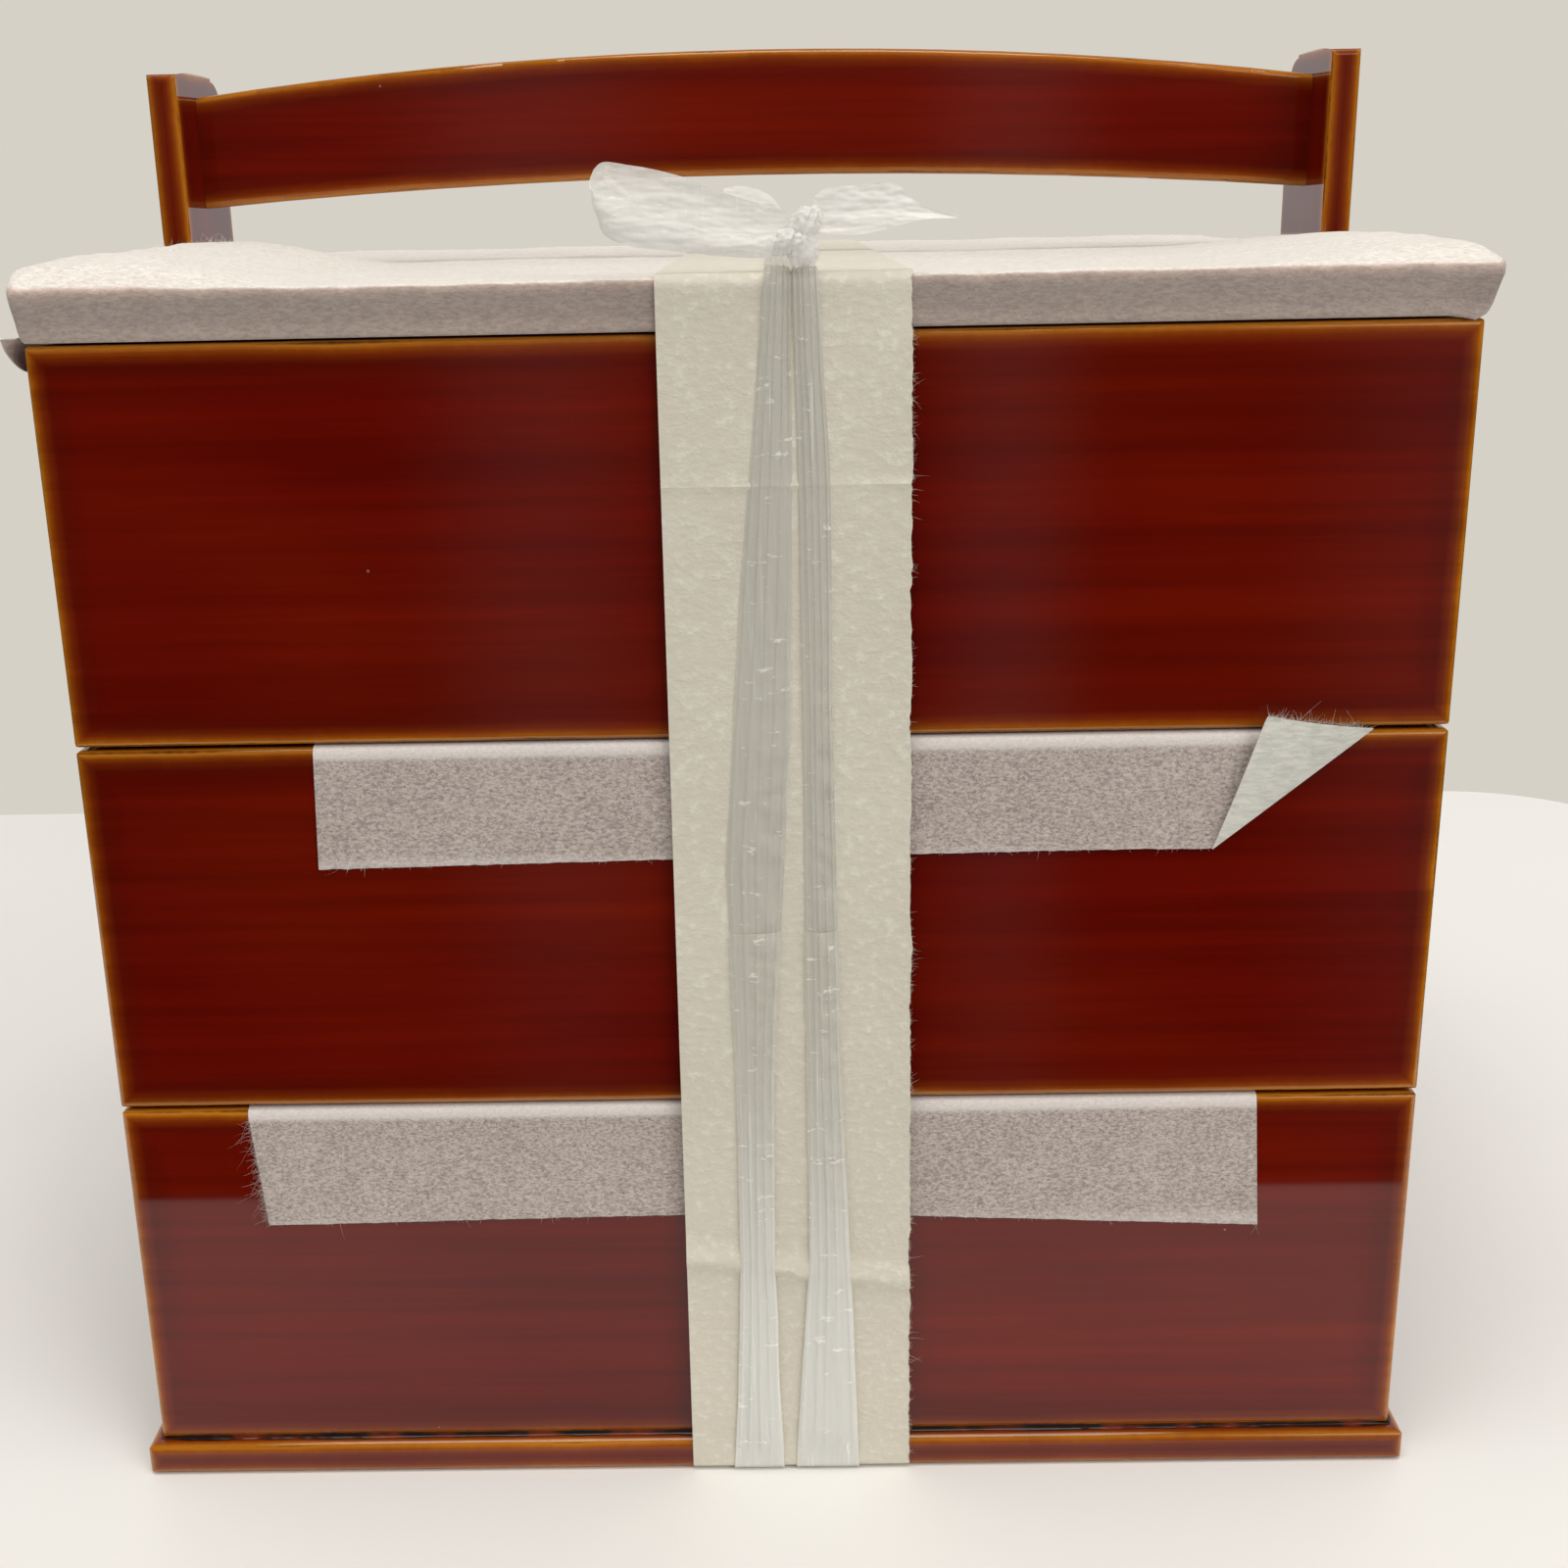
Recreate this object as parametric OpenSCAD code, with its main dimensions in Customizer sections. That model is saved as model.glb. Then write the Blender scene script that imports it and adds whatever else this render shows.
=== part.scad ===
// Three-tier lacquered box carried in a handled frame, tied up for storage.
// Origin: centre of the footprint, on the surface that the base board stands on.
// +X is the object's right as seen from the front, +Y its back, +Z up.

/* [Tiers] */
// Outside width of every tier, side to side
box_w = 195; // [150:1:240]
// Outside depth of every tier, front to back
box_d = 195; // [150:1:240]
// Height of the bottom tier's walls
bottom_h = 57.5; // [45:0.5:80]
// Height of the middle tier's walls
middle_h = 55.9; // [45:0.1:80]
// Height of the top tier's walls
top_h = 55.9; // [45:0.1:80]
// Thickness of the wall boards
wall_t = 6; // [5:0.5:9]
// Rounding of the outer vertical corners
corner_r = 1.2; // [0.6:0.1:2]
// Rounding of the rims and of the walls' lower outer edges
rim_r = 1; // [0.5:0.1:1.4]
// Gap that the folded paper leaves at each seam
seam = 0.5; // [0.4:0.1:1]

/* [Floors and nesting lips] */
// Thickness of each tier's floor board
floor_t = 4; // [3:0.5:6]
// Height of a floor board above its walls' lower edge
floor_up = 2; // [1:0.5:4]
// Depth of the groove that holds a floor board
groove_d = 2; // [1:0.5:3]
// How far a nesting lip reaches below its tier
lip_drop = 2.4; // [1.5:0.1:3]
// Width of a lip's battens
lip_w = 7; // [4:0.5:12]
// Running clearance between a lip and the rim round it
lip_gap = 0.3; // [0.2:0.05:0.6]
// Length left free at each end of a batten
lip_short = 9; // [8:0.5:14]

/* [Lid] */
// Thickness of the lid panel
lid_t = 6; // [4:0.5:10]
// Rounding of the lid's edges
lid_r = 1.2; // [0.6:0.1:2]
// Thickness of the packing sheet round the lid
wrap_t = 0.8; // [0.4:0.1:1.5]

/* [Base board] */
// Thickness of the base board
base_t = 5.2; // [4:0.1:9]
// How far the base board shows past the tiers at each side
base_side = 1.8; // [1:0.1:4]
// How far the base board shows past the tiers in front and behind
base_front = 2.2; // [1.5:0.1:6]
// Rounding of the base board's edges
base_r = 1.4; // [0.6:0.1:2]

/* [Posts and handle] */
// Thickness of a post, side to side
post_t = 5; // [4:0.5:9]
// Depth of a post, front to back
post_d = 28; // [20:1:40]
// Running clearance between a post and the loose tiers
post_gap = 0.2; // [0.15:0.05:0.4]
// Crown of a post's top end
post_crown = 0.9; // [0.5:0.1:2]
// Rounding of a post's rear top corner
post_rear_r = 6; // [3:0.5:10]
// Rounding of the posts' long edges
post_r = 1; // [0.5:0.1:2]
// Height of a post's top above the handle's ends
post_over = 4; // [2:0.5:10]
// Clear height between the packed lid and the handle's ends
grip_gap = 9.9; // [9.8:0.1:30]
// Height of the handle board at its ends
handle_h = 18.7; // [14:0.1:30]
// Thickness of the handle board
handle_t = 4.6; // [3.6:0.1:9]
// Rise of the handle's lower curve at the middle
arch_under = 3.8; // [2:0.1:9]
// Rise of the handle's upper curve at the middle
arch_top = 6; // [2:0.1:12]
// Rounding of the handle's long edges
handle_r = 1.1; // [0.5:0.1:1.6]
// Length of the handle's tenons
tenon_l = 3; // [2:0.5:3.4]
// Thickness of the handle's tenons
tenon_t = 2.4; // [1.8:0.1:3.2]
// Height of the handle's tenons
tenon_h = 11; // [8:0.5:13]
// Radius of the pegs that hold the posts
peg_r = 1.1; // [0.8:0.1:1.5]
// Distance of each peg from the post's centre line
peg_y = 8; // [5:0.5:9]
// Height of the upper pegs above the base board
peg_up = 14; // [8:1:30]
// Glue gap round tenons, pegs and floor boards
glue = 0.05; // [0.02:0.01:0.1]

/* [Paper band and slips] */
// Width of the paper band
band_w = 34; // [20:1:60]
// Distance of the band's middle from the box's middle
band_x = 4.4; // [-20:0.1:20]
// Thickness of the paper band
band_t = 0.4; // [0.3:0.05:0.8]
// Thickness of a folded slip
slip_t = 0.3; // [0.2:0.05:0.35]
// How far the upper slip hangs
upper_hang = 18; // [12:0.5:25]
// How far the lower slip hangs
lower_hang = 20; // [12:0.5:25]

/* [Tape] */
// Thickness of the flattened tape
tape_t = 0.4; // [0.3:0.05:0.8]
// Distance of the knot from the box's middle
knot_x = 6.5; // [-20:0.1:20]
// Radius of the knot
knot_r = 3; // [2:0.1:4]
// Width of one strand where it leaves the knot
strand_top_w = 3; // [2:0.1:6]
// Width of one strand at the base board
strand_foot_w = 8.5; // [3:0.1:11]
// Distance between the two strands' middles at the base board
strand_foot_gap = 12; // [12:0.1:16]

/* [Hidden] */

$fn = 48;
long_fn = 720;      // segments of the handle's long arcs
cut = 10;           // how far cutting shapes reach past what they cut

lacquer = [0.42, 0.09, 0.03];
amber = [0.62, 0.30, 0.07];
paper = [0.88, 0.86, 0.78];
tissue = [0.74, 0.70, 0.68];
film = [0.90, 0.90, 0.88];

// Heights, from the table up
bottom_z = base_t;
middle_z = bottom_z + bottom_h + seam;
top_z = middle_z + middle_h + seam;
lid_z = top_z + top_h + seam;
lid_top = lid_z + lid_t + wrap_t;
bottom_rim = bottom_z + bottom_h;
middle_rim = middle_z + middle_h;
top_rim = top_z + top_h;

// Base board, posts and handle
base_w = box_w + 2 * base_side;
base_d = box_d + 2 * base_front;
relief_h = band_t + tape_t + glue;
post_in = box_w / 2 + post_gap;
post_out = post_in + post_t;
handle_z = lid_top + grip_gap;
handle_end = handle_z + handle_h;
post_top = handle_end + post_over;
peg_skin = 0.6;     // wood and lacquer left over the pegs' outer ends
peg_in = 4;         // how far a peg reaches into the board behind the post

// Band and tape: distance of the band's inner face from the middle at height z
lid_reach = box_d / 2 + wrap_t;
base_reach = base_d / 2;
function reach(z) = z <= base_t ? base_reach : z >= lid_z ? lid_reach
    : base_reach + (lid_reach - base_reach) * (z - base_t) / (lid_z - base_t);
break_gap = 0.2;    // gap between the lengths of band and tape on two bodies
strand_top_gap = strand_top_w + 0.2;
function strand_gap(z) = strand_foot_gap + (strand_top_gap - strand_foot_gap) * z / lid_top;
function strand_w(z) = strand_foot_w + (strand_top_w - strand_foot_w) * z / lid_top;

// Rectangle centred on the origin, with corners of radius r
module round_rect(w, h, r) {
    square([w - 2 * r, h], center = true);
    square([w, h - 2 * r], center = true);
    for (x = [-1, 1], y = [-1, 1]) translate([x * (w / 2 - r), y * (h / 2 - r)]) circle(r);
}

// What rounding a corner at the origin takes away; the board lies towards +x and +y
module corner_cut(r) {
    difference() {
        translate([-1, -1]) square(r + 1);
        translate([r, r]) circle(r);
    }
}

// Section of a board of width w from height 0 to h, with round edges above and below
module edge_section(w, h, r_top, r_low) {
    difference() {
        translate([-w / 2, 0]) square([w, h]);
        for (side = [0, 1]) mirror([side, 0]) {
            translate([-w / 2, h]) mirror([0, 1]) corner_cut(r_top);
            translate([-w / 2, 0]) corner_cut(r_low);
        }
    }
}

// Board lying flat, standing on z = 0, with all its edges rounded
module eased_board(w, d, h, r_corner, r_top, r_low) {
    intersection() {
        linear_extrude(h) round_rect(w, d, r_corner);
        rotate([90, 0, 90]) linear_extrude(w + cut, center = true) edge_section(d, h, r_top, r_low);
        rotate([90, 0, 0]) linear_extrude(d + cut, center = true) edge_section(w, h, r_top, r_low);
    }
}

// Section of a wall board: x = 0 is its outer face
module wall_section(h) {
    difference() {
        square([wall_t, h]);
        corner_cut(rim_r);
        translate([0, h]) mirror([0, 1]) corner_cut(rim_r);
        translate([wall_t, h]) mirror([1, 0]) mirror([0, 1]) corner_cut(rim_r);
        translate([wall_t - groove_d - glue, floor_up - glue]) square([groove_d + cut, floor_t + 2 * glue]);
    }
}

// Front wall of a tier, mitred at both ends; w runs along it
module mitred_wall(w, d, h) {
    intersection() {
        linear_extrude(h) round_rect(w, d, corner_r);
        linear_extrude(h) polygon([[-w / 2, -d / 2], [w / 2, -d / 2],
            [w / 2 - wall_t, wall_t - d / 2], [wall_t - w / 2, wall_t - d / 2]]);
        translate([0, -d / 2, 0]) rotate([90, 0, 90])
            linear_extrude(w + cut, center = true) wall_section(h);
    }
}

// One of a tier's four walls: quarter 0 is the front, then right, back and left
module tier_wall(quarter, z, h) {
    along = quarter % 2 == 0 ? box_w : box_d;
    across = quarter % 2 == 0 ? box_d : box_w;
    color(lacquer) translate([0, 0, z]) rotate([0, 0, 90 * quarter]) mitred_wall(along, across, h);
}

module tier_floor(z) {
    reach_in = 2 * (wall_t - groove_d);
    color(lacquer) translate([0, 0, z + floor_up + floor_t / 2])
        cube([box_w - reach_in, box_d - reach_in, floor_t], center = true);
}

// Four battens under a tier or the lid, which sit inside the rim below it
module nesting_lip(z_top, z_low) {
    inner_w = box_w - 2 * (wall_t + lip_gap);
    inner_d = box_d - 2 * (wall_t + lip_gap);
    color(lacquer) translate([0, 0, z_low]) {
        for (side = [0, 1]) mirror([0, side, 0])
            translate([lip_short - inner_w / 2, -inner_d / 2, 0])
                cube([inner_w - 2 * lip_short, lip_w, z_top - z_low]);
        for (side = [0, 1]) mirror([side, 0, 0])
            translate([-inner_w / 2, lip_short - inner_d / 2, 0])
                cube([lip_w, inner_d - 2 * lip_short, z_top - z_low]);
    }
}

// Notches take the posts; the shallow relief below lets the band and tape through
module base_board() {
    color(lacquer) difference() {
        eased_board(base_w, base_d, base_t, base_r, base_r, base_r);
        for (side = [0, 1]) mirror([side, 0, 0]) {
            translate([box_w / 2, -post_d / 2, -cut]) cube([base_side + cut, post_d, base_t + 2 * cut]);
            pegs(glue);
        }
        translate([band_x - band_w / 2 - glue, -base_d / 2 - cut, -cut])
            cube([band_w + 2 * glue, base_d + 2 * cut, relief_h + cut]);
    }
}

// Pegs of the right-hand post, grown by the given gap
module pegs(gap) {
    for (y = [-peg_y, peg_y], z = [base_t / 2, base_t + peg_up])
        translate([box_w / 2 - peg_in - gap, y, z]) rotate([0, 90, 0])
            cylinder(r = peg_r + gap, h = post_out - peg_skin - box_w / 2 + peg_in + 2 * gap);
}

module post_pegs() {
    color(amber) for (side = [0, 1]) mirror([side, 0, 0]) pegs(0);
}

// Side view of a post: crowned top, rear top corner well rounded
module post_outline() {
    crown_r = (pow(post_d / 2, 2) + pow(post_crown, 2)) / (2 * post_crown);
    intersection() {
        difference() {
            translate([-post_d / 2, 0]) square([post_d, post_top]);
            translate([-post_d / 2, post_top - post_crown]) mirror([0, 1]) corner_cut(post_r);
            translate([post_d / 2, post_top - post_crown]) mirror([1, 0]) mirror([0, 1]) corner_cut(post_rear_r);
        }
        translate([0, post_top - crown_r]) circle(crown_r, $fn = long_fn);
    }
}

// Right-hand post, fixed low down and eased above so that the loose tiers slide past it
module post() {
    root_in = box_w / 2;
    mid = (root_in + post_out) / 2;
    thick = post_out - root_in;
    difference() {
        intersection() {
            translate([mid, 0, 0]) linear_extrude(post_top) round_rect(thick, post_d, post_r);
            rotate([90, 0, 90]) linear_extrude(2 * post_out) post_outline();
            translate([mid, 0, 0]) rotate([90, 0, 0])
                linear_extrude(post_d + cut, center = true) edge_section(thick, post_top, post_r, post_r / 2);
        }
        translate([root_in - cut, -post_d / 2 - cut, bottom_rim])
            cube([cut + post_gap, post_d + 2 * cut, post_top]);
        translate([post_in - cut, -tenon_t / 2 - glue, tenon_z() - glue])
            cube([cut + tenon_l + glue, tenon_t + 2 * glue, tenon_h + 2 * glue]);
        pegs(glue);
    }
}

function tenon_z() = handle_z + (handle_h - tenon_h) / 2;

module right_post() {
    color(lacquer) post();
}

module left_post() {
    color(lacquer) mirror([1, 0, 0]) post();
}

// Bottom tier walls that a post stands against carry the inner halves of its pegs
module pegged_wall(quarter) {
    color(lacquer) difference() {
        tier_wall(quarter, bottom_z, bottom_h);
        for (side = [0, 1]) mirror([side, 0, 0]) pegs(glue);
    }
}

// Radius of an arc of the given rise over the handle's length
function arc_r(rise) = (pow(post_in, 2) + pow(rise, 2)) / (2 * rise);

// Arched board between the posts, with a short tenon at each end
module handle() {
    top_r = arc_r(arch_top);
    under_r = arc_r(arch_under);
    color(lacquer) {
        intersection() {
            translate([0, 0, handle_end + arch_top - top_r]) rotate([90, 0, 0])
                rotate_extrude($fn = long_fn) difference() {
                    translate([0, -handle_t / 2]) square([top_r, handle_t]);
                    for (side = [0, 1]) mirror([0, side])
                        translate([top_r, -handle_t / 2]) mirror([1, 0]) corner_cut(handle_r, $fn = 32);
                }
            translate([0, 0, handle_z + arch_under - under_r]) rotate([90, 0, 0])
                rotate_extrude($fn = long_fn) difference() {
                    translate([under_r, -handle_t / 2]) square([3 * handle_h, handle_t]);
                    for (side = [0, 1]) mirror([0, side])
                        translate([under_r, -handle_t / 2]) corner_cut(handle_r, $fn = 32);
                }
            translate([-post_in, -handle_t, handle_z - cut])
                cube([2 * post_in, 2 * handle_t, handle_h + arch_top + 2 * cut]);
        }
        for (side = [0, 1]) mirror([side, 0, 0])
            translate([post_in - glue, -tenon_t / 2, tenon_z()]) cube([tenon_l + glue, tenon_t, tenon_h]);
    }
}

module lid_panel() {
    color(lacquer) translate([0, 0, lid_z]) eased_board(box_w, box_d, lid_t, corner_r, lid_r, lid_r);
}

// Sheet folded over the lid's top and edges, and pinched thin where the posts pass
module lid_wrap() {
    color(tissue) difference() {
        translate([0, 0, lid_z]) eased_board(box_w + 2 * wrap_t, box_d + 2 * wrap_t, lid_t + wrap_t,
            corner_r + wrap_t, lid_r + wrap_t, lid_r / 2);
        translate([0, 0, lid_z - cut]) linear_extrude(cut + lid_t) round_rect(box_w, box_d, corner_r);
        for (side = [0, 1]) mirror([side, 0, 0])
            translate([box_w / 2, -post_d / 2 - 1, lid_z - cut]) cube([cut, post_d + 2, lid_t + wrap_t + 2 * cut]);
    }
}

// Section in YZ of what hangs down the front, off the band's inner face by the given distance
module hanging_section(heights, off, t) {
    polygon(concat([for (z = heights) [-reach(z) - off, z]],
        [for (i = [len(heights) - 1 : -1 : 0]) [-reach(heights[i]) - off - t, heights[i]]]));
}

module band_lengths(heights) {
    color(paper) translate([band_x, 0, 0]) for (side = [0, 1]) mirror([0, side, 0])
        rotate([90, 0, 90]) linear_extrude(band_w, center = true) hanging_section(heights, 0, band_t);
}

// One strand of tape seen from the front, widening towards the base board
module strand(side) {
    rotate([90, 0, 0]) linear_extrude(2 * box_d, center = true)
        polygon([for (end = [[0, -1], [0, 1], [1, 1], [1, -1]])
            let (z = end[0] * lid_top)
            [knot_x + side * strand_gap(z) / 2 + end[1] * strand_w(z) / 2, z]]);
}

module tape_lengths(heights) {
    color(film) for (side = [-1, 1], back = [0, 1]) intersection() {
        mirror([0, back, 0]) translate([knot_x, 0, 0]) rotate([90, 0, 90])
            linear_extrude(box_w / 2, center = true) hanging_section(heights, band_t, tape_t);
        strand(side);
    }
}

module band_base() {
    band_lengths([tape_t, base_t, bottom_rim + seam / 2 - break_gap / 2]);
    color(paper) translate([band_x, 0, tape_t + band_t / 2])
        cube([band_w, 2 * (base_reach + band_t), band_t], center = true);
}

module tape_base() {
    tape_lengths([0, base_t, bottom_rim + seam / 2 - break_gap / 2]);
    color(film) for (side = [-1, 1])
        translate([knot_x + side * strand_foot_gap / 2, 0, tape_t / 2])
            cube([strand_foot_w, 2 * (base_reach + band_t + tape_t), tape_t], center = true);
}

module band_middle() {
    band_lengths([middle_z - seam / 2 + break_gap / 2, middle_rim + seam / 2 - break_gap / 2]);
}

module tape_middle() {
    tape_lengths([middle_z - seam / 2 + break_gap / 2, middle_rim + seam / 2 - break_gap / 2]);
}

module band_top() {
    band_lengths([top_z - seam / 2 + break_gap / 2, top_rim + seam / 2 - break_gap / 2]);
}

module tape_top() {
    tape_lengths([top_z - seam / 2 + break_gap / 2, top_rim + seam / 2 - break_gap / 2]);
}

module band_lid() {
    band_lengths([lid_z - seam / 2 + break_gap / 2, lid_z, lid_top + band_t]);
    color(paper) translate([band_x, 0, lid_top + band_t / 2])
        cube([band_w, 2 * lid_reach, band_t], center = true);
}

module tape_lid() {
    tape_lengths([lid_z - seam / 2 + break_gap / 2, lid_z, lid_top + band_t + tape_t]);
    color(film) for (side = [-1, 1])
        translate([knot_x + side * strand_top_gap / 2, 0, lid_top + band_t + tape_t / 2])
            cube([strand_top_w, 2 * (lid_reach + band_t + tape_t), tape_t], center = true);
}

// Slip of tissue folded over a front rim; outline is its hanging face, from the rim down
module folded_slip(rim, x_low, x_high, outline) {
    color(tissue) {
        translate([x_low, -box_d / 2 - slip_t, rim]) cube([x_high - x_low, wall_t + slip_t, slip_t]);
        translate([0, -box_d / 2, rim + slip_t]) rotate([90, 0, 0]) linear_extrude(slip_t) polygon(outline);
    }
}

module lower_slip() {
    x_low = -0.4 * box_w;
    x_high = 0.38 * box_w;
    folded_slip(bottom_rim, x_low, x_high,
        [[x_low, 0], [x_high, 0], [x_high + 1, -lower_hang - 1.5], [x_high - 35, -lower_hang],
         [x_low + 2, -lower_hang]]);
}

// The right end is turned up into a triangle that lies in front
module upper_slip() {
    x_low = -0.325 * box_w;
    x_high = 0.365 * box_w;
    flap_w = 15;
    folded_slip(middle_rim, x_low, x_high,
        [[x_low, 0], [x_high, 0], [x_high - 6.5, -upper_hang], [x_low + 1, -upper_hang]]);
    color(tissue) translate([x_high, -box_d / 2 - slip_t, middle_rim]) rotate([90, 0, 0])
        linear_extrude(slip_t) polygon([[0, 2.5], [flap_w, 0.4], [-6.5, 0.2 - upper_hang]]);
}

// Pulled knot, flat where it sits on the tape over the lid's front edge
knot_y = -lid_reach + knot_r;
knot_z = lid_top + band_t + tape_t;
module knot() {
    color(film) translate([knot_x, knot_y, knot_z]) difference() {
        translate([0, 0, 0.8 * knot_r]) sphere(knot_r, $fn = 32);
        translate([-cut, -cut, -2 * cut]) cube([2 * cut, 2 * cut, 2 * cut]);
    }
}

// Loop of flat tape to the left, a pointed tail to the right and a short one behind
module bow() {
    loop_l = 26;
    loop_r = 2.4;
    gap = 0.4;
    color(film) translate([knot_x, knot_y, knot_z]) {
        intersection() {
            linear_extrude(5 * knot_r) difference() {
                loop_plan(loop_l, loop_r);
                loop_plan(loop_l, loop_r - gap);
            }
            rotate([90, 0, 0]) linear_extrude(8 * knot_r, center = true)
                polygon([[-knot_r - 1, 0.5], [-knot_r - 1, 6.5], [-24.5, 13.5], [-27.4, 11],
                    [-26.2, 6], [-21.5, 2.6]]);
        }
        translate([knot_r, gap / 2, 0]) rotate([90, 0, 0]) linear_extrude(gap)
            polygon([[0, 3], [0, 6], [8, 11], [12, 8.4], [17.8, 6.2], [10, 5], [3, 4.4]]);
        translate([-knot_r - 0.6, knot_r + gap, 0]) rotate([90, 0, 0]) linear_extrude(gap)
            polygon([[3.2, 4.6], [3.4, 6.4], [-4, 9.8], [-6.4, 8.6], [-2, 5.6]]);
    }
}

// Plan of the loop: a drop that narrows to the knot
module loop_plan(length, r) {
    end_x = -length - knot_r / 2 + 2.4;
    touch = acos(r / length);
    translate([end_x, 0]) circle(r);
    polygon([[end_x + r * cos(touch), r * sin(touch)], [-knot_r - 0.1, r / 4],
        [-knot_r - 0.1, -r / 4], [end_x + r * cos(touch), -r * sin(touch)]]);
}

base_board();
tier_wall(0, bottom_z, bottom_h);  // bottom_front
pegged_wall(1);  // bottom_right
tier_wall(2, bottom_z, bottom_h);  // bottom_back
pegged_wall(3);  // bottom_left
tier_floor(bottom_z);  // bottom_floor
left_post();
right_post();
handle();
post_pegs();
lower_slip();
band_base();
tape_base();
tier_wall(0, middle_z, middle_h);  // middle_front
tier_wall(1, middle_z, middle_h);  // middle_right
tier_wall(2, middle_z, middle_h);  // middle_back
tier_wall(3, middle_z, middle_h);  // middle_left
tier_floor(middle_z);  // middle_floor
nesting_lip(middle_z + floor_up, middle_z - lip_drop);  // middle_lip
upper_slip();
band_middle();
tape_middle();
tier_wall(0, top_z, top_h);  // top_front
tier_wall(1, top_z, top_h);  // top_right
tier_wall(2, top_z, top_h);  // top_back
tier_wall(3, top_z, top_h);  // top_left
tier_floor(top_z);  // top_floor
nesting_lip(top_z + floor_up, top_z - lip_drop);  // top_lip
band_top();
tape_top();
lid_panel();
nesting_lip(lid_z, lid_z - lip_drop);  // lid_lip
lid_wrap();
band_lid();
tape_lid();
knot();
bow();
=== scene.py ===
"""Three-tier lacquered food box in its handled frame, packed with tissue, a paper band and flat tape."""

import math

import bpy
import numpy as np
from mathutils import Matrix, Vector, noise


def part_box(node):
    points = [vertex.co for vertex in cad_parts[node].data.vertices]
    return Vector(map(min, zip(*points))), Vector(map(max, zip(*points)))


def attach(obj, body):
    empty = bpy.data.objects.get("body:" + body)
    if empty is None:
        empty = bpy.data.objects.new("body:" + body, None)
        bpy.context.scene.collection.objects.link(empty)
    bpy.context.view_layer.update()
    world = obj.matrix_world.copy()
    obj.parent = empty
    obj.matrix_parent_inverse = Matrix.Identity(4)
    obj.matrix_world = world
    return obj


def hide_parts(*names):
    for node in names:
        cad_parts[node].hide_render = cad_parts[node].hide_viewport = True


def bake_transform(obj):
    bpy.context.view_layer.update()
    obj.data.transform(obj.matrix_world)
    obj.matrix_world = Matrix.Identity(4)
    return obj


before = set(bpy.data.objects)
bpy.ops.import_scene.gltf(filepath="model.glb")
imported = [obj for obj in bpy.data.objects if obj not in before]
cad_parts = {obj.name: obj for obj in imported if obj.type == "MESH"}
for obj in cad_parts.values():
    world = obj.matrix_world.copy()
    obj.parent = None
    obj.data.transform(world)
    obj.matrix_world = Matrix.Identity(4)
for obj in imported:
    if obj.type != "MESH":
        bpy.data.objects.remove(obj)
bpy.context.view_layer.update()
mm = 0.001


# Camera: a phone held a hand's length in front of the box, level with its lid and tilted down.
# Its place and lens come from the box's own corners, so that the box fills the picture as photographed.
photo_px = 1600
lens_px = 1963
centre_px = (770.4, 803.6)
camera_place = Vector((2.97, -359.81, 192.49)) * mm
turn, tilt, roll = -0.014, 0.2970, -0.0208

level = Vector((math.sin(turn), math.cos(turn), 0))
right = Vector((math.cos(turn), -math.sin(turn), 0))
ahead = level * math.cos(tilt) - Vector((0, 0, math.sin(tilt)))
above = level * math.sin(tilt) + Vector((0, 0, math.cos(tilt)))
camera = bpy.data.objects.new("camera", bpy.data.cameras.new("camera"))
bpy.context.scene.collection.objects.link(camera)
axes = [right * math.cos(roll) + above * math.sin(roll), above * math.cos(roll) - right * math.sin(roll), -ahead]
camera.matrix_world = Matrix.Translation(camera_place) @ Matrix(axes).transposed().to_4x4()
camera.data.sensor_width = 36
camera.data.lens = 36 * lens_px / photo_px
camera.data.shift_x = (photo_px / 2 - centre_px[0]) / photo_px
camera.data.shift_y = (centre_px[1] - photo_px / 2) / photo_px
camera.data.clip_start = 0.01
bpy.context.scene.camera = camera
bpy.context.scene.view_settings.view_transform = "Standard"


# Room and table: a pale wall behind, a white table top with rounded corners, and a dim room in front,
# which the lacquer mirrors. A broad ceiling light hangs over the box, a little to its front.
def colour(code):
    """Linear colour of a six-digit screen colour."""
    parts = [int(code[i:i + 2], 16) / 255 for i in (0, 2, 4)]
    return (*[c / 12.92 if c <= 0.04045 else ((c + 0.055) / 1.055) ** 2.4 for c in parts], 1)


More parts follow.
